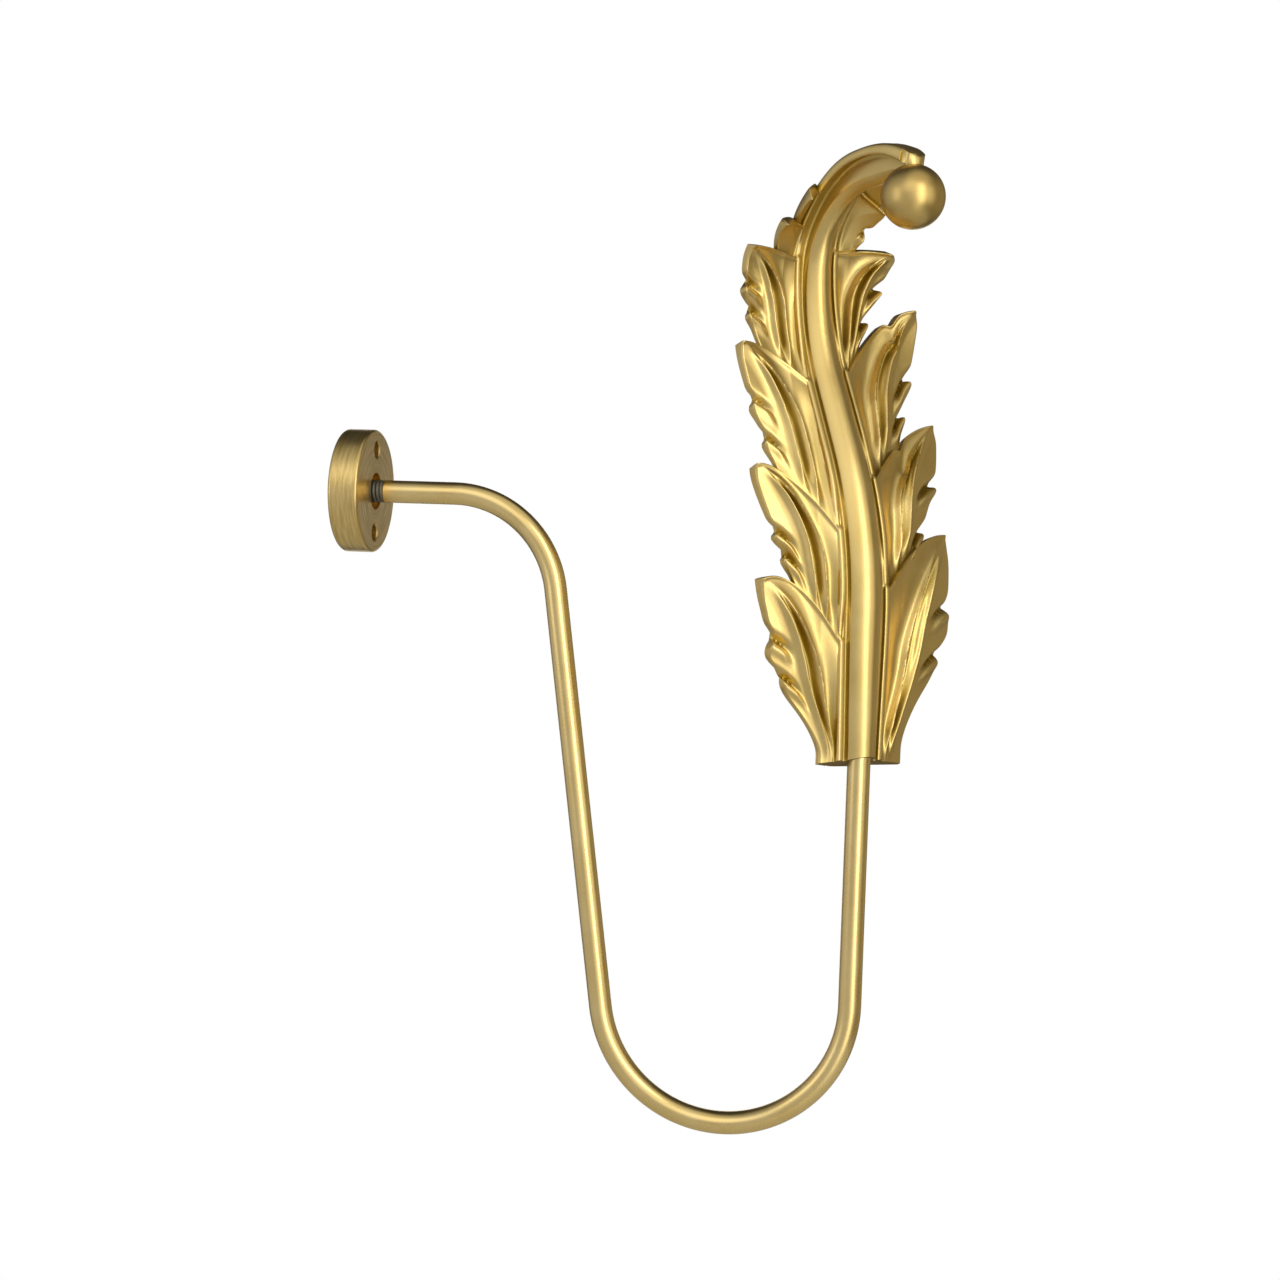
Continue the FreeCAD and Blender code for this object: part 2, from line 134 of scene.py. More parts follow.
LEFT_CHANNEL = [(0, 0), (155, 0), (185, 1.3), (214, 1.3), (226, 0.1), (230, 0)]
SMOOTH_SPAN = 7.0
SMOOTH_SAMPLES = 9

# Leaf: section of the stem. BACK_CORNER and BACK_FLAT are shares of the outer edge's place and of the back's
# depth, and CORNER_CUT is the share of a side that rounding takes
GROOVE_WIDTH = 1.6
RIM_WIDTH = 2.2
RIM_DROP = 0.7
RIM_LEAST = 0.8
BAR_RISE = 1.0
BAR_RUN = 18.0
BAR_NARROW = 0.5
ROLL_POINTS = 9
ROLL_WALL = 0.12
EDGE_BEVEL = 0.25
GROOVE_CORNER = 0.3
GROOVE_FLOOR = 0.8
GROOVE_RISE = 0.35
RIM_SHOULDER = 0.45
BACK_CORNER = (0.9, 0.7)
BACK_FLAT = (0.55, 0.97)
CORNER_CUT = 0.25

# Leaf: each lobe's corner and top along the stem, its reach and the start of its outer edge from the stem's
# middle, how that edge fills out, how far round its upper edge arches, how much its tip is rounded, the
# notches in its outer edge, and the place of a dip in its upper edge, 0 for none
LEFT_LOBES = [
    Lobe(38, 58, 35.5, 13.8, 1.6, 0.62, 0.03, (0.54, 0.71), 0),
    Lobe(73, 95.5, 33.5, 21.7, 1.3, 0.54, 0.01, (0.33, 0.50), 0),
    Lobe(124, 135.5, 33, 24, 1.3, 0.58, 0.01, (0.35, 0.61), 0),
    Lobe(165, 167.5, 29.5, 22, 2.2, 0.58, 0.01, (0.45, 0.68), 0),
    Lobe(175, 178, 19.5, 15, 1.6, 0.5, 0.01, (), 0),
    Lobe(187, 188.5, 13.5, 11, 1.6, 0.5, 0.01, (), 0),
]
RIGHT_LOBES = [
    Lobe(55, 75, 45, 21, 0.3, 0.52, 0.05, (0.51, 0.695), 0),
    Lobe(91, 112.5, 43.5, 25, 2.6, 0.5, 0.05, (0.21, 0.57), 25),
    Lobe(129, 151, 40, 23, 1.8, 0.52, 0.05, (0.30, 0.52), 29),
    Lobe(168, 170.5, 28.5, 12, 2.0, 0.5, 0.12, (0.33, 0.59), 0),
    Lobe(189, 188, 16.5, 14, 1.6, 0.5, 0.05, (0.5,), 0),
    Lobe(208, 206, 16, 14, 1.6, 0.5, 0.05, (), 0),
]

# Leaf: form of the lobes. BACK_TUCK_END and TIP_START are shares of a lobe's length, LOBE_TILT_START is a
# share of its width, and FLARE_END and FLARE_PART are shares of the lowest lobe's top and flare. The rest is
# in millimetres
SMALL_REACH = 20.0
EDGE_DIP_DEPTH = 2.4
EDGE_DIP_WIDTH = 2.2
LOBE_TUCK = 4.0
LOBE_EDGE = 2.8
LOBE_LEAST = 0.9
LOBE_BACK_TUCK = 0.9
BACK_TUCK_END = 0.2
LOBE_ROOT = 0.9
LOBE_DROP = 0.8
LOBE_STEP = 2.4
LOBE_TILT_START = 0.25
LOBE_ROUNDING = 0.6
FLARE_START = 4.0
FLARE_END = 0.54
FLARE_PART = 0.5
TIP_START = 0.85

# Leaf: carving of a lobe. A ridge has a place as a share of the lobe's width, the share by which it has moved
# outwards at the upper edge, and the share of the length where it starts to. The notches' and lobules' widths
# and offset and the starts, ends and tapers are shares of the length, POCKET_LENGTH and POCKET_FADE are
# shares of the width, and POCKET_SLOPE is a fall for each millimetre inwards. The rest is in millimetres
NOTCH_DEPTH = 1.7
NOTCH_WIDTH = 0.04
LOBULE_HEIGHT = 1.3
LOBULE_WIDTH = 0.06
LOBULE_OFFSET = 0.10
CARVING_START = 0.35
HOLLOW_DEPTH = 1.8
SMALL_HOLLOW_DEPTH = 0.6
FIRST_RIDGE = (0.30, 0.70, 0.55)
SECOND_RIDGE = (0.52, 0.44, 0.45)
RIDGE_HEIGHT = 1.5
RIDGE_WIDTH = 1.1
RIDGE_START = 0.10
RIDGE_END = 0.97
RIDGE_TAPER = 0.2
VALLEY_DEPTH = 1.4
VALLEY_WIDTH = 1.15
SHOULDER_DROP = 0.6
SHOULDER_WIDTH = 5.0
POCKET_DEPTH = 2.5
POCKET_WIDTH = 1.5
POCKET_LENGTH = 0.32
POCKET_FADE = 0.2
POCKET_SLOPE = 0.5
FINGER_HEIGHT = 1.1
FINGER_WIDTH = 2.0
FINGER_OFFSET = 3.8
UPPER_BEAD = 0.8
UPPER_BEAD_WIDTH = 1.0

# Leaf: rows and columns of a lobe's face, their crowding towards its edges, and how much coarser its back is
BIG_GRID = (76, 92)
FOOT_GRID = (100, 92)
SMALL_GRID = (40, 32)
ROW_CROWDING = 1.25
COLUMN_CROWDING = 1.4
BACK_ROWS = 2
BACK_COLUMNS = 4

# Ball, forward of and above the foot, and its seat under the lip
BALL_RADIUS = 10.0
BALL_FORWARD = 16.2
BALL_HEIGHT = 174.8
SEAT_CLEARANCE = 0.05
SEAT_SUBDIVISIONS = 5

# Finishes. The colours are linear: the plain one, its darker patches and a painted shade colour for hollows.
# The grain's height is in metres
CAST_BRASS = Finish(
    colour=(0.75, 0.555, 0.215), dark=(0.70, 0.50, 0.165), deep=(0.40, 0.295, 0.055),
    roughness=0.34, grain_scale=1600.0, grain_height=0.00006,
)
DRAWN_BRASS = Finish(
    colour=(0.83, 0.63, 0.27), dark=(0.80, 0.58, 0.22), deep=(0.70, 0.48, 0.14),
    roughness=0.28, grain_scale=2500.0, grain_height=0.000005,
)
TURNED_BRASS = Finish(
    colour=(0.80, 0.59, 0.24), dark=(0.56, 0.39, 0.12), deep=(0.54, 0.37, 0.08),
    roughness=0.34, grain_scale=1000.0, grain_height=0.0003,
)
# The ball's third colour is a dark painted shade, for its top under the leaf's lip.
POLISHED_BRASS = Finish(
    colour=(0.64, 0.455, 0.16), dark=(0.60, 0.415, 0.135), deep=(0.26, 0.17, 0.035),
    roughness=0.36, grain_scale=2500.0, grain_height=0.00001,
)
# Painted shade: the foot's downward cut face is painted a dark dull brown, for the shade it lies in.
FOOT_SHADE_PAINT = Finish(
    colour=(0.20, 0.135, 0.03), dark=(0.16, 0.105, 0.02), deep=(0.10, 0.065, 0.01),
    roughness=0.7, grain_scale=1600.0, grain_height=0.00006,
)
BARE_THREAD = Finish(
    colour=(0.19, 0.175, 0.14), dark=(0.16, 0.145, 0.11), deep=(0.10, 0.09, 0.065),
    roughness=0.55, grain_scale=2500.0, grain_height=0.00002,
)
FOOT_SHADE_SPECULAR = 0.15

# Finishes: noise of the patches and the grain, the ranges of it that become tone and gloss, and how far in
# metres a hollow of a piece, or one that it forms with its neighbours, gets painted shade
PATCH_SCALE = 70.0
PATCH_DETAIL = 4.0
GRAIN_DETAIL = 3.0
GRAIN_STRENGTH = 0.5
NOISE_ROUGHNESS = 0.6
TONE_RANGE = (0.3, 0.65)
GLOSS_RANGE = (0.25, 0.75)
GLOSS_CHANGE = 0.05
LATHE_ROUND = 0.12
OWN_SHADE_REACH = 0.004
SHARED_SHADE_REACH = 0.009
SHADE_RANGE = (0.35, 0.95)
SHADE_SAMPLES = 8

# Camera, at the photograph's angle
CAMERA_AZIMUTH = math.radians(12.0)
CAMERA_ELEVATION = math.radians(2.0)
CAMERA_ROLL = math.radians(2.0)
CAMERA_DISTANCE = 800.0
TARGET = (99.9, 0.0, -45.0)
IMAGE_SIZE = 1280
FOCAL_PIXELS = 2500
SENSOR = 36.0

# Studio. Azimuths are degrees to the right of the camera's side, the inner and outer sizes of the panels and
# of the white window behind the object are degrees too, lamps are in metres and watts, colours are linear,
# and the floor is in millimetres
AMBIENT = (0.03, 0.03, 0.03)
WHITE = (1.0, 1.0, 1.0)
PANELS = [
    Panel(-60, 5, 30, 80, (0.45, 0.46, 0.50)),
    Panel(-130, 0, 15, 50, (0.15, 0.15, 0.16)),
    Panel(22, 5, 8, 42, (0.80, 0.80, 0.78)),
    Panel(-22, 32, 6, 26, (0.90, 0.90, 0.88)),
    Panel(30, 60, 15, 45, (0.64, 0.63, 0.58)),
    Panel(90, 0, 20, 60, (0.22, 0.19, 0.12)),
    Panel(135, 0, 10, 45, (0.13, 0.12, 0.09)),
    Panel(0, -60, 15, 60, (0.19, 0.18, 0.15)),
]
WINDOW_INNER = 20.5
WINDOW_OUTER = 25
LAMPS = [
    Lamp("key", 28, 14, 0.9, 0.30, 1.00, 2.6),
    Lamp("side", 62, 12, 0.9, 0.30, 0.70, 0.5),
    Lamp("fill", -62, 12, 1.0, 0.50, 0.70, 1.0),
    Lamp("low", 20, -30, 0.9, 0.40, 0.40, 0.45),
]
FLOOR_RADIUS = 600.0
FLOOR_HEIGHT = -450.0
FLOOR_SIDES = 96
FLOOR_COLOUR = (0.82, 0.81, 0.79, 1.0)
FLOOR_ROUGHNESS = 0.9

# Directions of the leaf, and the place of its foot
FORWARD = np.array([math.sin(LEAF_TURN), -math.cos(LEAF_TURN), 0.0])
SIDEWAYS = np.array([math.cos(LEAF_TURN), math.sin(LEAF_TURN), 0.0])
UP = np.array([0.0, 0.0, 1.0])
FOOT = np.array([REACH, 0.0, FOOT_HEIGHT])


def linked(name, data):
    """Object with this data, put into the scene."""
    obj = bpy.data.objects.new(name, data)
    bpy.context.scene.collection.objects.link(obj)
    return obj


def new_object(name, points, faces):
    """Mesh object from points in millimetres."""
    mesh = bpy.data.meshes.new(name)
    mesh.from_pydata([tuple(point) for point in np.asarray(points) * MM], [], faces)
    mesh.update()
    return linked(name, mesh)


def placed(name, work, matrix):
    """Object from a working mesh in millimetres, put in its place by a matrix."""
    mesh = bpy.data.meshes.new(name)
    work.to_mesh(mesh)
    work.free()
    mesh.transform(Matrix.Scale(MM, 4) @ matrix)
    return linked(name, mesh)


def outward(obj):
    """Turn every face of a closed mesh to point outwards."""
    work = bmesh.new()
    work.from_mesh(obj.data)
    bmesh.ops.recalc_face_normals(work, faces=work.faces)
    work.to_mesh(obj.data)
    work.free()


def smooth(t):
    """Smooth step from 0 to 1."""
    t = np.clip(t, 0.0, 1.0)
    return t * t * (3 - 2 * t)


def bell(distance, width):
    """Smooth bump, 1 in its middle."""
    return np.exp(-(distance / width) ** 2)


def along(stations, s):
    """Size at distance s along the stem, smoothed between the stations."""
    places, sizes = zip(*stations)
    offsets = np.linspace(-SMOOTH_SPAN, SMOOTH_SPAN, SMOOTH_SAMPLES)
    return np.mean([np.interp(s + offset, places, sizes) for offset in offsets], axis=0)


def stem_place(s):
    """Place forward of and above the foot, and lean back, at distances s along the stem."""
    s = np.asarray(s, float)
    forward = np.zeros_like(s)
    height = np.zeros_like(s)
    lean = np.zeros_like(s)
    start = 0.0
    for index, (length, turn) in enumerate(STEM_STRETCHES):
        low = -np.inf if index == 0 else 0.0
        high = np.inf if index == len(STEM_STRETCHES) - 1 else length
        step = np.clip(s - start, low, high)
        if turn == 0.0:
            forward -= np.sin(lean) * step
            height += np.cos(lean) * step
        else:
            radius = length / turn
            new_lean = lean + step / radius
            forward += radius * (np.cos(new_lean) - np.cos(lean))
            height += radius * (np.sin(new_lean) - np.sin(lean))
            lean = new_lean
        start += length
    return forward, height, lean


def leaf_points(s, y, n):
    """Points at distance s along the stem, y to its right and n in front of it."""
    forward, height, lean = stem_place(s)
    place = FOOT + forward[..., None] * FORWARD + height[..., None] * UP
    facing = np.cos(lean)[..., None] * FORWARD + np.sin(lean)[..., None] * UP
    return place + np.asarray(y)[..., None] * SIDEWAYS + np.asarray(n)[..., None] * facing


def rim_edge(s):
    """Outer side of the raised rim beside the stem's groove."""
    return along(STEM_HALF_WIDTH, s) + (GROOVE_WIDTH + RIM_WIDTH) * along(EDGE_SHARE, s)


def bar_rise(s, lobes):
    """Rise of the rim bars, 0 where a bar starts behind a lobe's corner and 1 along the rest of it."""
    corners = [lobe.corner for lobe in lobes if lobe.reach > SMALL_REACH]
    starts = np.array([-BAR_RUN - FOOT_SPARE] + corners)
    last = starts[np.searchsorted(starts, s, side="right") - 1]
    return smooth((s - last) / BAR_RUN)


def stem_back(s):
    """Back of the stem, which rounds over at the end of the lip."""
    share = np.clip((s - STEM_LENGTH + LIP_TRIM + LIP_ROUNDING) / LIP_ROUNDING, 0.0, 1.0)
    return along(STEM_BACK, s) + LIP_FALL * (1 - np.sqrt(1 - share ** 2))


def round_corners(ring):
    """Cut the corners of closed rings of points, which rounds them."""
    after = np.roll(ring, -1, axis=1)
    near = (1 - CORNER_CUT) * ring + CORNER_CUT * after
    far = CORNER_CUT * ring + (1 - CORNER_CUT) * after
    ring = np.stack([near, far], axis=2)
    return ring.reshape(ring.shape[0], -1, ring.shape[-1])


def half_ring(s, lobes, channel):
    """One half of the stem's section rings at distances s, from the crown to the back, as (y, n) pairs."""
    half = along(STEM_HALF_WIDTH, s) - channel
    height = along(STEM_HEIGHT, s)
    back = stem_back(s)
    share = along(EDGE_SHARE, s)
    rise = bar_rise(s, lobes)
    rim = along(RIM_HEIGHT, s) - BAR_RISE * (1 - rise)
    outer = rim_edge(s)
    roll_edge = height - along(ROLL_RISE, s)
    groove = np.minimum(along(RIM_HEIGHT, s), roll_edge) - along(GROOVE_DEPTH, s)
    inner = half + 2 * channel + GROOVE_WIDTH * share + BAR_NARROW * (1 - rise)
    inner = np.minimum(inner, outer - RIM_LEAST)
    side = (rim - RIM_DROP + back) / 2
    corner_place, corner_depth = BACK_CORNER
    flat_place, flat_depth = BACK_FLAT
    pairs = []
    for t in np.linspace(0, 1, ROLL_POINTS)[1:]:
        pairs.append((half * t, height - (height - roll_edge) * t ** 2))
    pairs += [
        (half + ROLL_WALL, roll_edge - EDGE_BEVEL),
        (half + GROOVE_CORNER * share, groove + GROOVE_CORNER),
        (half + GROOVE_FLOOR * share, groove),
        (inner - EDGE_BEVEL, groove + GROOVE_RISE),
        (inner, rim - EDGE_BEVEL),
        (inner + EDGE_BEVEL, rim),
        (outer - RIM_SHOULDER, rim),
        (outer, rim - RIM_DROP),
        (outer, side),
        (corner_place * outer, corner_depth * back + (1 - corner_depth) * side),
        (flat_place * outer, flat_depth * back),
    ]
    return pairs


def stem_rings(s):
    """Closed section rings of the stem at distances s, as (y, n) pairs."""
    zero = np.zeros_like(s)
    ring = [(zero, along(STEM_HEIGHT, s))] + half_ring(s, RIGHT_LOBES, zero) + [(zero, stem_back(s))]
    ring += [(-y, n) for y, n in reversed(half_ring(s, LEFT_LOBES, along(LEFT_CHANNEL, s)))]
    return round_corners(np.stack([np.stack(pair, axis=-1) for pair in ring], axis=1))


def tube_faces(rings, count):
    """Faces of a closed tube with this many rings and points in a ring."""
    faces = []
    for row in range(rings - 1):
        for k in range(count):
            a = row * count + k
            b = row * count + (k + 1) % count
            faces.append((a, b, b + count, a + count))
    last = (rings - 1) * count
    faces.append(tuple(range(count)))
    faces.append(tuple(range(last, last + count)))
    return faces


def stem_mesh():
    """Bar of the leaf: half-round roll between two grooves and rims, with a rounded back."""
    s = np.linspace(-FOOT_SPARE, STEM_LENGTH, STEM_RINGS)
    rings = stem_rings(s)
    count = rings.shape[1]
    points = leaf_points(np.repeat(s[:, None], count, axis=1), rings[..., 0], rings[..., 1])
    obj = new_object("leaf_casting", points.reshape(-1, 3), tube_faces(STEM_RINGS, count))
    outward(obj)
    return obj


def edge_height(lobe, y):
    """Height along the stem of a lobe's upper edge, y from the stem's middle."""
    inner = rim_edge(np.float64(lobe.corner))
    share = (y - inner) / (lobe.reach - inner)
    height = lobe.corner + (lobe.top - lobe.corner) * np.sin(lobe.arch * math.pi * share)
    if lobe.dip:
        height = height - EDGE_DIP_DEPTH * bell(y - lobe.dip, EDGE_DIP_WIDTH)
    return height


def plain_outline(p, lobe, at_foot):
    """Outer edge of a lobe from its lower end, p = 0, to its tip, p = 1, without notches."""
    if at_foot:
        s = p * (lobe.top + FOOT_SPARE) - FOOT_SPARE
        flare = smooth((s - FLARE_START) / (FLARE_END * lobe.top - FLARE_START))
        rise = flare * (FLARE_PART + (1 - FLARE_PART) * p ** lobe.power)
    else:
        rise = 1 - (1 - p) ** lobe.power
    y = lobe.start + (lobe.reach - lobe.start) * rise
    return y - lobe.tip * lobe.reach * np.maximum(0.0, (p - TIP_START) / (1 - TIP_START)) ** 2


def notching(p, notches):
    """Change of a lobe's outer edge: a notch at each place with a lobule below it."""
    y = np.zeros_like(p)
    for place in notches:
        y = y - NOTCH_DEPTH * bell(p - place, NOTCH_WIDTH)
        y = y + LOBULE_HEIGHT * bell(p - place + LOBULE_OFFSET, LOBULE_WIDTH)
    return y


def ridge_place(p, ridge):
    """Share of the width where a ridge runs: straight up from the root, then flaring outwards."""
    place, flare, start = ridge
    return place + flare * np.maximum(0.0, (p - start) / (1 - start)) ** 2


def relief(p, q, length, width, plain_width, lobe):
    """Carved face of a lobe over its ground: a hollow by the stem, two ridges and pockets at the notches."""
    tilt = LOBE_STEP * (p - 0.5) * np.minimum(1.0, q / LOBE_TILT_START)
    spread = smooth(p / CARVING_START)
    across = q * width
    first = ridge_place(p, FIRST_RIDGE) * plain_width
    second = ridge_place(p, SECOND_RIDGE) * plain_width
    hollow = np.sin(math.pi * np.minimum(1.0, across / first)) * spread
    if lobe.reach > SMALL_REACH:
        ends = smooth((p - RIDGE_START) / RIDGE_TAPER) * smooth((RIDGE_END - p) / RIDGE_TAPER)
        height = tilt - HOLLOW_DEPTH * hollow
        for place in (first, second):
            height = height + RIDGE_HEIGHT * bell(across - place, RIDGE_WIDTH) * ends
        height = height - VALLEY_DEPTH * bell(across - (first + second) / 2, VALLEY_WIDTH) * ends
        height = height - SHOULDER_DROP * smooth((across - second) / SHOULDER_WIDTH) * spread
    else:
        height = tilt - SMALL_HOLLOW_DEPTH * hollow
    inward = plain_width - across
    outer_part = smooth((POCKET_LENGTH - inward / plain_width) / POCKET_FADE)
    for place in lobe.notches:
        below = (place - p) * length - POCKET_SLOPE * inward
        height = height - POCKET_DEPTH * bell(below, POCKET_WIDTH) * outer_part
        height = height + FINGER_HEIGHT * bell(below - FINGER_OFFSET, FINGER_WIDTH) * outer_part
    return height + UPPER_BEAD * bell((1 - p) * length, UPPER_BEAD_WIDTH)


def wing_ground(s, y):
    """Face of the leaf beside the stem, swept back or cupped forward, without the carving."""
    beyond = np.maximum(0.0, y - rim_edge(s))
    return along(RIM_HEIGHT, s) - LOBE_DROP - np.tan(np.radians(along(LOBE_SWEEP, s))) * beyond


def lobe_grid(lobe, lower):
    """Rows p from a lobe's lower end to its upper edge, and columns q from the stem to its outer edge."""
    big_grid = BIG_GRID if lower else FOOT_GRID
    row_steps, column_steps = big_grid if lobe.reach > SMALL_REACH else SMALL_GRID
    rows = 1 - (1 - np.linspace(0, 1, row_steps + 1)) ** ROW_CROWDING
    columns = 1 - (1 - np.linspace(0, 1, column_steps + 1)) ** COLUMN_CROWDING
    return np.meshgrid(rows, columns, indexing="ij")


def lobe_surfaces(lobe, lower):
    """A lobe's grid of places s along the stem and y out from it, and the levels of its face and back."""
    p, q = lobe_grid(lobe, lower)
    inner_top = rim_edge(np.float64(lobe.corner)) - LOBE_ROOT
    inner_bottom = rim_edge(np.float64(lower.corner if lower else 0)) - LOBE_ROOT
    y_inner = inner_bottom + (inner_top - inner_bottom) * p
    plain_width = plain_outline(p, lobe, lower is None) - y_inner
    width = plain_width + (notching(p, lobe.notches) if lobe.reach > SMALL_REACH else 0.0)
    y = y_inner + q * width
    low = edge_height(lower, y) - LOBE_TUCK if lower else np.full_like(y, -FOOT_SPARE)
    length = edge_height(lobe, y) - low
    s = low + p * length
    ground = wing_ground(s, y)
    face = ground + relief(p, q, length, width, plain_width, lobe)
    thickness = LOBE_EDGE + (along(LOBE_THICKNESS, s) - LOBE_EDGE) * (1 - q)
    tuck = LOBE_BACK_TUCK * np.maximum(0.0, 1 - p / BACK_TUCK_END) if lower else 0.0
    rear = np.minimum(ground - thickness + tuck, face - LOBE_LEAST)
    for gap in ((1 - q) * width, (1 - p) * length):
        inside = np.clip(LOBE_ROUNDING - gap, 0.0, LOBE_ROUNDING)
        face = face - (LOBE_ROUNDING - np.sqrt(LOBE_ROUNDING ** 2 - inside ** 2))
    return s, y, face, rear


def grid_faces(rows, columns):
    """Faces of a grid of points, and the indices round its border."""
    faces = []
    for i in range(rows - 1):
        for j in range(columns - 1):
            a = i * columns + j
            faces.append((a, a + 1, a + columns + 1, a + columns))
    border = list(range(columns))
    border += [i * columns + columns - 1 for i in range(1, rows)]
    border += [(rows - 1) * columns + j for j in range(columns - 2, -1, -1)]
    border += [i * columns for i in range(rows - 2, 0, -1)]
    return faces, border


def edge_walls(border, rear_border, first, row_steps, column_steps):
    """Faces from the border of a lobe's face to that of its coarser back, whose points start at first."""
    steps = [BACK_COLUMNS] * (column_steps // BACK_COLUMNS) + [BACK_ROWS] * (row_steps // BACK_ROWS)
    loop = border + border[:1]
    rear_loop = rear_border + rear_border[:1]
    walls = []
    start = 0
    for index, step in enumerate(steps + steps):
        wall = loop[start:start + step + 1]
        walls.append(tuple(reversed(wall)) + (first + rear_loop[index], first + rear_loop[index + 1]))
        start += step
    return walls


def lobe_mesh(side, lobe, lower):
    """One lobe of the leaf as a closed mesh: a carved face with rounded edges on a smooth back."""
    s, y, face, rear = lobe_surfaces(lobe, lower)
    row_steps = s.shape[0] - 1
    column_steps = s.shape[1] - 1
    coarse = (slice(None, None, BACK_ROWS), slice(None, None, BACK_COLUMNS))
    front_points = leaf_points(s, side * y, face).reshape(-1, 3)
    rear_points = leaf_points(s, side * y, rear)[coarse].reshape(-1, 3)
    faces, border = grid_faces(row_steps + 1, column_steps + 1)
    rear_faces, rear_border = grid_faces(row_steps // BACK_ROWS + 1, column_steps // BACK_COLUMNS + 1)
    first = len(front_points)
    faces += [tuple(first + index for index in reversed(corners)) for corners in rear_faces]
    faces += edge_walls(border, rear_border, first, row_steps, column_steps)
    obj = new_object("lobe", np.vstack([front_points, rear_points]), faces)
    outward(obj)
    return obj


def combine(target, other, operation):
    """Join or cut a closed mesh with another, which is then removed."""
    modifier = target.modifiers.new("combine", "BOOLEAN")
    modifier.operation = operation
    modifier.solver = "MANIFOLD"
    modifier.object = other
    bpy.context.view_layer.update()
    result = bpy.data.meshes.new_from_object(target.evaluated_get(bpy.context.evaluated_depsgraph_get()))
    target.modifiers.clear()
    old = target.data
    target.data = result
    bpy.data.meshes.remove(old)
    bpy.data.objects.remove(other)


def block(name, size, matrix):
    """Closed box with its middle at the origin of a placing matrix, in millimetres."""
    work = bmesh.new()
    bmesh.ops.create_cube(work, size=1.0, matrix=Matrix.Diagonal((*size, 1.0)))
    return placed(name, work, matrix)


def round_cutter(name, radius, start, end):
    """Closed cylinder between two points, in millimetres."""
    axis = Vector(end) - Vector(start)
    work = bmesh.new()
    bmesh.ops.create_cone(work, cap_ends=True, segments=CUTTER_SIDES, radius1=radius, radius2=radius,
                          depth=axis.length)
    turn = axis.to_track_quat("Z", "Y").to_matrix().to_4x4()
    middle = (Vector(start) + Vector(end)) / 2
    return placed(name, work, Matrix.Translation(middle) @ turn)


def socket_cutter():
    """Hole in the foot that takes the end of the rod."""
    bottom = FOOT - UP * FOOT_SPARE
    top = FOOT + UP * SOCKET_DEPTH
    return round_cutter("socket", ROD_RADIUS + SEAT_CLEARANCE, bottom, top)


def seat_cutter():
    """Ball that clears the seat under the lip."""
    centre = FOOT + FORWARD * BALL_FORWARD + UP * BALL_HEIGHT
    work = bmesh.new()
    bmesh.ops.create_icosphere(work, subdivisions=SEAT_SUBDIVISIONS, radius=BALL_RADIUS + SEAT_CLEARANCE)
    return placed("seat", work, Matrix.Translation(Vector(centre)))


def foot_waste():
    """Block below the slanted foot, which rises towards the front."""
    size = WASTE_FACTOR * max(lobe.reach for lobe in LEFT_LOBES + RIGHT_LOBES)
    depth = WASTE_FACTOR * FOOT_SPARE
    slant = Matrix.Translation(Vector(FOOT)) @ Matrix.Rotation(-FOOT_SLANT, 4, Vector(SIDEWAYS))
    return block("foot_waste", (size, size, depth), slant @ Matrix.Translation((0, 0, -depth / 2)))


def foot_facing():
    """Direction that the foot's cut face looks in."""
    return -(Matrix.Rotation(-FOOT_SLANT, 3, Vector(SIDEWAYS)) @ Vector(UP))


def lip_waste():
    """Corners outside the half-round end of the lip."""
    radius = float(rim_edge(np.float64(STEM_LENGTH)))
    end = STEM_LENGTH - LIP_TRIM
    ends = leaf_points(np.array([end - radius, end]), np.zeros(2), np.zeros(2))
    middle = Vector(ends[0])
    across = Vector(SIDEWAYS)
    tangent = (Vector(ends[1]) - middle).normalized()
    facing = across.cross(tangent)
    place = Matrix.Translation(middle) @ Matrix((across, tangent, facing)).transposed().to_4x4()
    size = WASTE_FACTOR * radius
    beyond = place @ Matrix.Translation((0, size / 2, 0))
    waste = block("lip_waste", (size, size, 2 * LIP_WASTE_DEPTH), beyond)
    reach = facing * (2 * LIP_WASTE_DEPTH)
    combine(waste, round_cutter("lip_round", radius, middle - reach, middle + reach), "DIFFERENCE")
    return waste


def smooth_shading(obj, angle):
    """Smooth faces, with edges sharper than angle kept sharp."""
    obj.data.shade_smooth()
    obj.data.set_sharp_from_angle(angle=math.radians(angle))


def keep_inside(obj, node_name):
    """Hold every point inside the box of the CAD node that the object stands for."""
    low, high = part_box(node_name)
    count = len(obj.data.vertices)
    points = np.empty(3 * count)
    obj.data.vertices.foreach_get("co", points)
    points = np.clip(points.reshape(-1, 3), np.array(low), np.array(high))
    obj.data.vertices.foreach_set("co", points.ravel())
    obj.data.update()


def build_leaf():
    """Cast leaf in one piece, cut off at the foot, with a socket for the rod and a seat for the ball."""
    leaf = stem_mesh()
    for side, lobes in ((-1, LEFT_LOBES), (1, RIGHT_LOBES)):
        for lower, lobe in zip([None] + lobes, lobes):
            combine(leaf, lobe_mesh(side, lobe, lower), "UNION")
    for waste in (foot_waste(), lip_waste(), socket_cutter(), seat_cutter()):
        combine(leaf, waste, "DIFFERENCE")
    keep_inside(leaf, "leaf")
    smooth_shading(leaf, LEAF_SHARP_ANGLE)
    return leaf


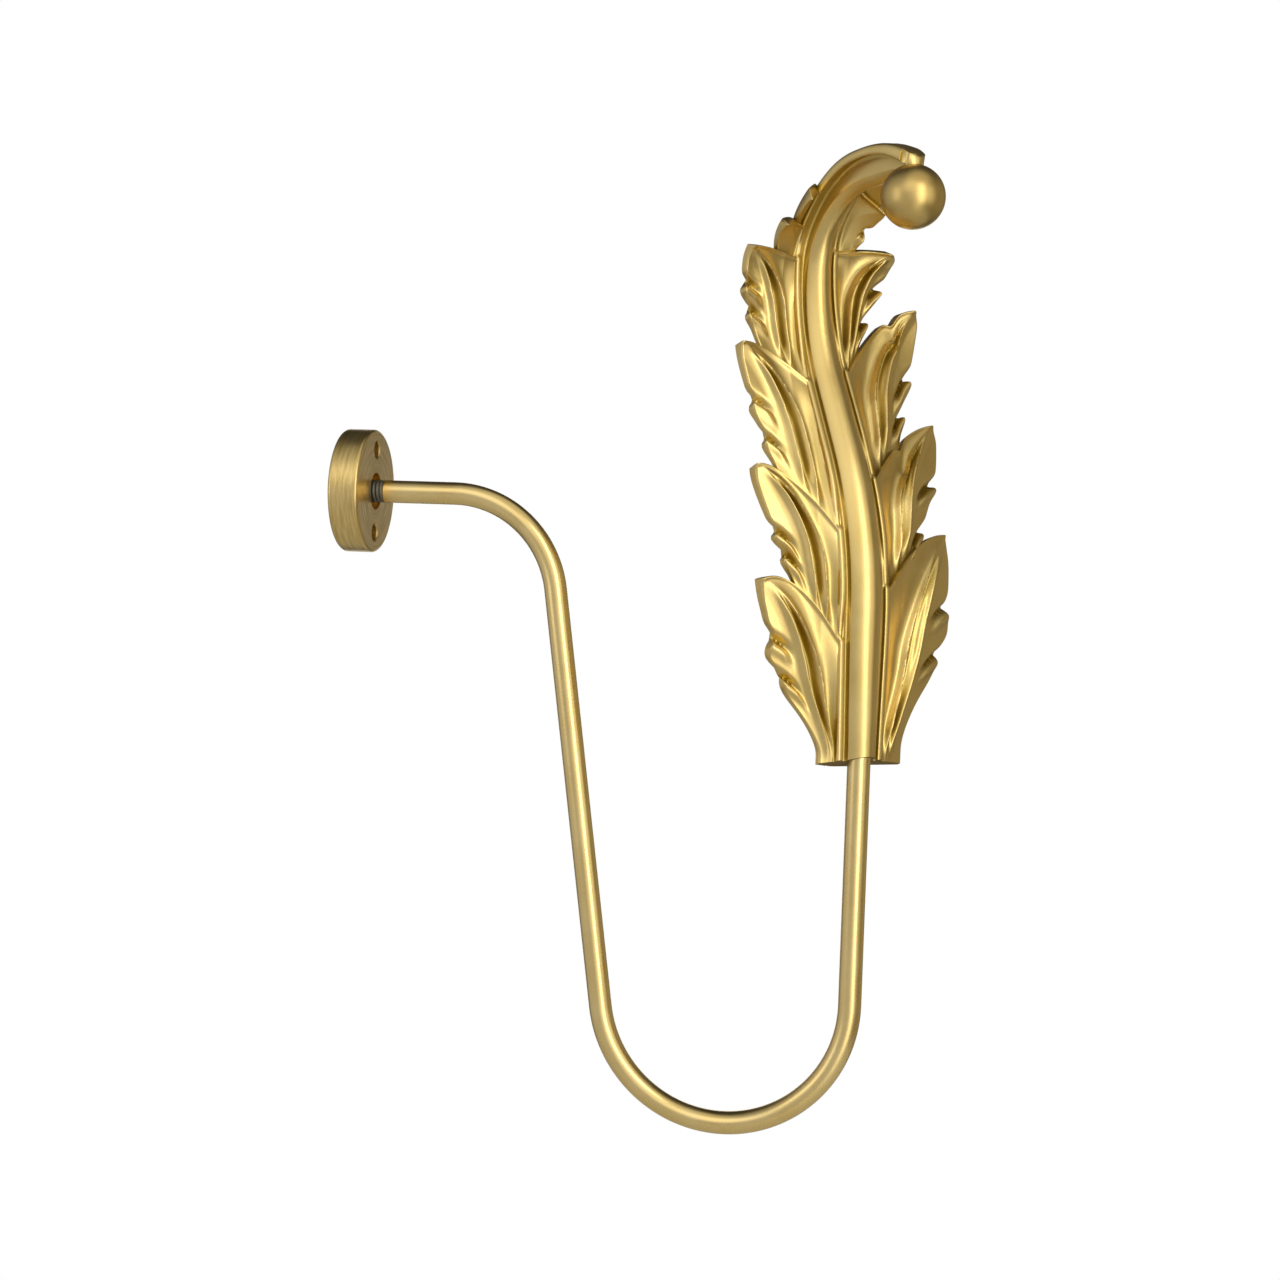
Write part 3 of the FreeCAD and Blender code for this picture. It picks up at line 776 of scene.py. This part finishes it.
def rod_centres():
    """Points along the rod's centre line, close together in the thread and round the bends."""
    u_centre = np.array([REACH - U_RADIUS, 0.0, U_RADIUS - HOOK_DROP])
    leg = np.array([math.sin(LEG_LEAN), 0.0, -math.cos(LEG_LEAN)])
    leg_outward = np.array([-math.cos(LEG_LEAN), 0.0, -math.sin(LEG_LEAN)])
    leg_end = u_centre + leg_outward * U_RADIUS
    corner = leg_end - leg * (leg_end[2] / leg[2])
    tangent = UPPER_BEND_RADIUS * math.tan((math.pi / 2 - LEG_LEAN) / 2)
    leg_start = corner + leg * tangent
    bend_start = corner - np.array([tangent, 0.0, 0.0])
    bend_centre = bend_start - UP * UPPER_BEND_RADIUS
    centres = []
    for x in np.arange(ROD_START, THREAD_END, THREAD_PITCH / THREAD_STEPS):
        centres.append(np.array([x, 0.0, 0.0]))
    for x in np.linspace(THREAD_END, bend_start[0], RUN_RINGS)[:-1]:
        centres.append(np.array([x, 0.0, 0.0]))
    for angle in np.linspace(0, math.pi / 2 - LEG_LEAN, BEND_RINGS)[:-1]:
        centres.append(bend_centre + UPPER_BEND_RADIUS * np.array([math.sin(angle), 0.0, math.cos(angle)]))
    for t in np.linspace(0, 1, LEG_RINGS)[:-1]:
        centres.append(leg_start + (leg_end - leg_start) * t)
    for angle in np.linspace(math.pi + LEG_LEAN, 2 * math.pi, U_RINGS)[:-1]:
        centres.append(u_centre + U_RADIUS * np.array([math.cos(angle), 0.0, math.sin(angle)]))
    for z in np.linspace(u_centre[2], FOOT_HEIGHT + SOCKET_DEPTH, RISE_RINGS):
        centres.append(np.array([REACH, 0.0, z]))
    return np.array(centres)


def build_rod():
    """Bent rod with a threaded end in the wall plate."""
    centres = rod_centres()
    tangents = np.gradient(centres, axis=0)
    tangents /= np.linalg.norm(tangents, axis=1)[:, None]
    across = np.array([0.0, 1.0, 0.0])
    angles = np.linspace(0, 2 * math.pi, ROD_SIDES, endpoint=False)
    points = []
    for centre, direction in zip(centres, tangents):
        other = np.cross(direction, across)
        turn = np.cos(angles)[:, None] * across + np.sin(angles)[:, None] * other
        phase = (centre[0] / THREAD_PITCH - angles / (2 * math.pi)) % 1.0
        cut = THREAD_DEPTH * np.abs(2 * phase - 1) if centre[0] < THREAD_END else np.zeros(ROD_SIDES)
        points.append(centre + turn * (ROD_RADIUS - ROD_SKIN - cut)[:, None])
    rod = new_object("bent_rod", np.array(points).reshape(-1, 3), tube_faces(len(centres), ROD_SIDES))
    outward(rod)
    keep_inside(rod, "rod")
    smooth_shading(rod, ROD_SHARP_ANGLE)
    return rod


def node(tree, kind, **values):
    """New node with its inputs or settings given by name."""
    made = tree.nodes.new(kind)
    for name, value in values.items():
        if name in made.inputs:
            made.inputs[name].default_value = value
        else:
            setattr(made, name, value)
    return made


def map_range(tree, source, start, end, low=0.0, high=1.0, interpolation="LINEAR"):
    """Map a value from the range start to end onto low to high."""
    made = node(tree, "ShaderNodeMapRange", interpolation_type=interpolation)
    for name, value in (("From Min", start), ("From Max", end), ("To Min", low), ("To Max", high)):
        made.inputs[name].default_value = value
    tree.links.new(source, made.inputs["Value"])
    return made.outputs["Result"]


def mix_colour(tree, factor, first, second):
    """Mix of two colours, each a plain colour or another node's output."""
    made = node(tree, "ShaderNodeMix", data_type="RGBA")
    tree.links.new(factor, made.inputs["Factor"])
    for name, colour in (("A", first), ("B", second)):
        socket = [item for item in made.inputs if item.name == name and item.type == "RGBA"][0]
        if isinstance(colour, tuple):
            socket.default_value = (*colour, 1.0)
        else:
            tree.links.new(colour, socket)
    return [item for item in made.outputs if item.type == "RGBA"][0]


def noise(tree, place, scale, detail):
    """Value of a noise pattern."""
    made = node(tree, "ShaderNodeTexNoise", Scale=scale, Detail=detail, Roughness=NOISE_ROUGHNESS)
    tree.links.new(place, made.inputs["Vector"])
    return made.outputs["Fac"]


def turned_place(tree, place):
    """Coordinates that change along and out from the plate's axis and hardly round it, for lathe marks."""
    split = node(tree, "ShaderNodeSeparateXYZ")
    tree.links.new(place, split.inputs["Vector"])
    flat = node(tree, "ShaderNodeCombineXYZ")
    for axis in ("Y", "Z"):
        tree.links.new(split.outputs[axis], flat.inputs[axis])
    radius = node(tree, "ShaderNodeVectorMath", operation="LENGTH")
    tree.links.new(flat.outputs["Vector"], radius.inputs[0])
    round_part = node(tree, "ShaderNodeMath", operation="MULTIPLY")
    round_part.inputs[1].default_value = LATHE_ROUND
    tree.links.new(split.outputs["Z"], round_part.inputs[0])
    joined = node(tree, "ShaderNodeCombineXYZ")
    tree.links.new(split.outputs["X"], joined.inputs["X"])
    tree.links.new(radius.outputs["Value"], joined.inputs["Y"])
    tree.links.new(round_part.outputs["Value"], joined.inputs["Z"])
    return joined.outputs["Vector"]


def metal(name, finish, turned=False, own_shade_only=True):
    """Satin metal: changes of tone and gloss, painted shade in the hollows, and a fine grain."""
    material = bpy.data.materials.new(name)
    material.use_nodes = True
    tree = material.node_tree
    shader = tree.nodes["Principled BSDF"]
    shader.inputs["Metallic"].default_value = 1.0
    place = node(tree, "ShaderNodeTexCoord").outputs["Object"]
    patches = noise(tree, place, PATCH_SCALE, PATCH_DETAIL)
    grain_place = turned_place(tree, place) if turned else place
    grain = noise(tree, grain_place, finish.grain_scale, GRAIN_DETAIL)
    tone_part = map_range(tree, grain if turned else patches, *TONE_RANGE)
    tone = mix_colour(tree, tone_part, finish.dark, finish.colour)
    # Painted shade: ambient occlusion mixes the base colour towards the finish's third, dark colour in
    # hollows.
    reach = OWN_SHADE_REACH if own_shade_only else SHARED_SHADE_REACH
    shade_occlusion = node(tree, "ShaderNodeAmbientOcclusion", Distance=reach, samples=SHADE_SAMPLES,
                  only_local=own_shade_only)
    unshaded_part = map_range(tree, shade_occlusion.outputs["AO"], *SHADE_RANGE)
    tree.links.new(mix_colour(tree, unshaded_part, finish.deep, tone), shader.inputs["Base Color"])
    gloss = map_range(tree, patches, *GLOSS_RANGE, finish.roughness - GLOSS_CHANGE,
                      finish.roughness + GLOSS_CHANGE)
    tree.links.new(gloss, shader.inputs["Roughness"])
    bump = node(tree, "ShaderNodeBump", Strength=GRAIN_STRENGTH, Distance=finish.grain_height)
    tree.links.new(grain, bump.inputs["Height"])
    tree.links.new(bump.outputs["Normal"], shader.inputs["Normal"])
    return material


def shade_paint_metal(name, finish):
    """Dull surface, not metallic, for the painted shade on the foot's cut face."""
    material = metal(name, finish)
    shader = material.node_tree.nodes["Principled BSDF"]
    shader.inputs["Metallic"].default_value = 0.0
    shader.inputs["Specular IOR Level"].default_value = FOOT_SHADE_SPECULAR
    return material


def paint(obj, *materials):
    """Give an object these materials and no others."""
    obj.data.materials.clear()
    for material in materials:
        obj.data.materials.append(material)


def paint_leaf(leaf, cast, foot_shade):
    """Cast metal all over the leaf but for the cut face of its foot, which gets painted shade."""
    paint(leaf, cast, foot_shade)
    facing = foot_facing()
    for face in leaf.data.polygons:
        # The downward cut face of the foot gets the painted shade material.
        on_foot = face.normal.dot(facing) > FOOT_FACE_LEAST and face.center.z < FOOT_TOP * MM
        face.material_index = 1 if on_foot else 0


def paint_rod(rod, drawn, bare):
    """Drawn metal all along the rod but for its bare thread."""
    paint(rod, drawn, bare)
    for face in rod.data.polygons:
        face.material_index = 1 if face.center.x < THREAD_END * MM else 0


def from_camera(azimuth, elevation):
    """Direction this many degrees to the right of the camera's side and above the level."""
    turn = CAMERA_AZIMUTH + math.radians(azimuth)
    rise = math.radians(elevation)
    return Vector((math.sin(turn) * math.cos(rise), -math.cos(turn) * math.cos(rise), math.sin(rise)))


def panel_share(tree, place, direction, inner, outer):
    """Share of a soft round panel: 1 within inner degrees of its direction and 0 beyond outer degrees."""
    dot = node(tree, "ShaderNodeVectorMath", operation="DOT_PRODUCT")
    dot.inputs[1].default_value = direction
    tree.links.new(place, dot.inputs[0])
    start = math.cos(math.radians(outer))
    end = math.cos(math.radians(inner))
    return map_range(tree, dot.outputs["Value"], start, end, interpolation="SMOOTHSTEP")


def build_world():
    """Studio surroundings: soft panels round the object, and white behind it."""
    world = bpy.data.worlds.new("studio")
    bpy.context.scene.world = world
    world.use_nodes = True
    tree = world.node_tree
    background = tree.nodes["Background"]
    place = node(tree, "ShaderNodeTexCoord").outputs["Generated"]
    total = None
    for panel in PANELS:
        direction = from_camera(panel.azimuth, panel.elevation)
        share = panel_share(tree, place, direction, panel.inner, panel.outer)
        add = node(tree, "ShaderNodeVectorMath", operation="MULTIPLY_ADD")
        add.inputs[1].default_value = panel.colour
        tree.links.new(share, add.inputs[0])
        if total:
            tree.links.new(total, add.inputs[2])
        else:
            add.inputs[2].default_value = AMBIENT
        total = add.outputs["Vector"]
    behind = -from_camera(0, math.degrees(CAMERA_ELEVATION))
    window = panel_share(tree, place, behind, WINDOW_INNER, WINDOW_OUTER)
    tree.links.new(mix_colour(tree, window, total, WHITE), background.inputs["Color"])


def area_lamp(lamp):
    """Soft rectangular white lamp aimed at the object."""
    data = bpy.data.lights.new(lamp.name, "AREA")
    data.shape = "RECTANGLE"
    data.size = lamp.width
    data.size_y = lamp.height
    data.energy = lamp.power
    data.color = WHITE
    obj = linked(lamp.name, data)
    toward = from_camera(lamp.azimuth, lamp.elevation)
    obj.location = Vector(TARGET) * MM + toward * lamp.distance
    obj.rotation_euler = toward.to_track_quat("Z", "Y").to_euler()
    obj.visible_camera = False


def build_camera():
    """Camera at the photograph's angle."""
    data = bpy.data.cameras.new("camera")
    data.sensor_width = SENSOR
    data.lens = SENSOR * FOCAL_PIXELS / IMAGE_SIZE
    camera = linked("camera", data)
    right = Vector((math.cos(CAMERA_AZIMUTH), math.sin(CAMERA_AZIMUTH), 0.0))
    toward = from_camera(0, math.degrees(CAMERA_ELEVATION))
    up = toward.cross(right)
    tilted_right = right * math.cos(CAMERA_ROLL) + up * math.sin(CAMERA_ROLL)
    tilted_up = up * math.cos(CAMERA_ROLL) - right * math.sin(CAMERA_ROLL)
    eye = (Vector(TARGET) + toward * CAMERA_DISTANCE) * MM
    turn = Matrix((tilted_right, tilted_up, toward)).transposed().to_4x4()
    camera.matrix_world = Matrix.Translation(eye) @ turn
    bpy.context.scene.camera = camera


def build_floor():
    """Round pale floor, well below the object."""
    points = []
    for angle in np.linspace(0, 2 * math.pi, FLOOR_SIDES, endpoint=False):
        x = TARGET[0] + FLOOR_RADIUS * math.cos(angle)
        y = FLOOR_RADIUS * math.sin(angle)
        points.append((x, y, FLOOR_HEIGHT))
    floor = new_object("floor", points, [tuple(range(FLOOR_SIDES))])
    material = bpy.data.materials.new("pale_floor")
    material.use_nodes = True
    shader = material.node_tree.nodes["Principled BSDF"]
    shader.inputs["Base Color"].default_value = FLOOR_COLOUR
    shader.inputs["Roughness"].default_value = FLOOR_ROUGHNESS
    paint(floor, material)


bpy.context.scene.view_settings.view_transform = "Standard"
build_camera()
build_world()
build_floor()
for lamp in LAMPS:
    area_lamp(lamp)

cast = metal("cast_brass", CAST_BRASS)
drawn = metal("drawn_brass", DRAWN_BRASS)
turned = metal("turned_brass", TURNED_BRASS, turned=True)
# Painted shade and reflection: occlusion by the leaf's lip darkens the top of the ball.
polished = metal("polished_brass", POLISHED_BRASS, own_shade_only=False)
foot_shade = shade_paint_metal("foot_painted_shade", FOOT_SHADE_PAINT)
bare = metal("bare_thread", BARE_THREAD)

leaf = build_leaf()
paint_leaf(leaf, cast, foot_shade)
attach(leaf, "root")
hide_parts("leaf")

rod = build_rod()
paint_rod(rod, drawn, bare)
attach(rod, "root")
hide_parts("rod")

paint(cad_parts["wall_plate"], turned)
paint(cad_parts["ball"], polished)
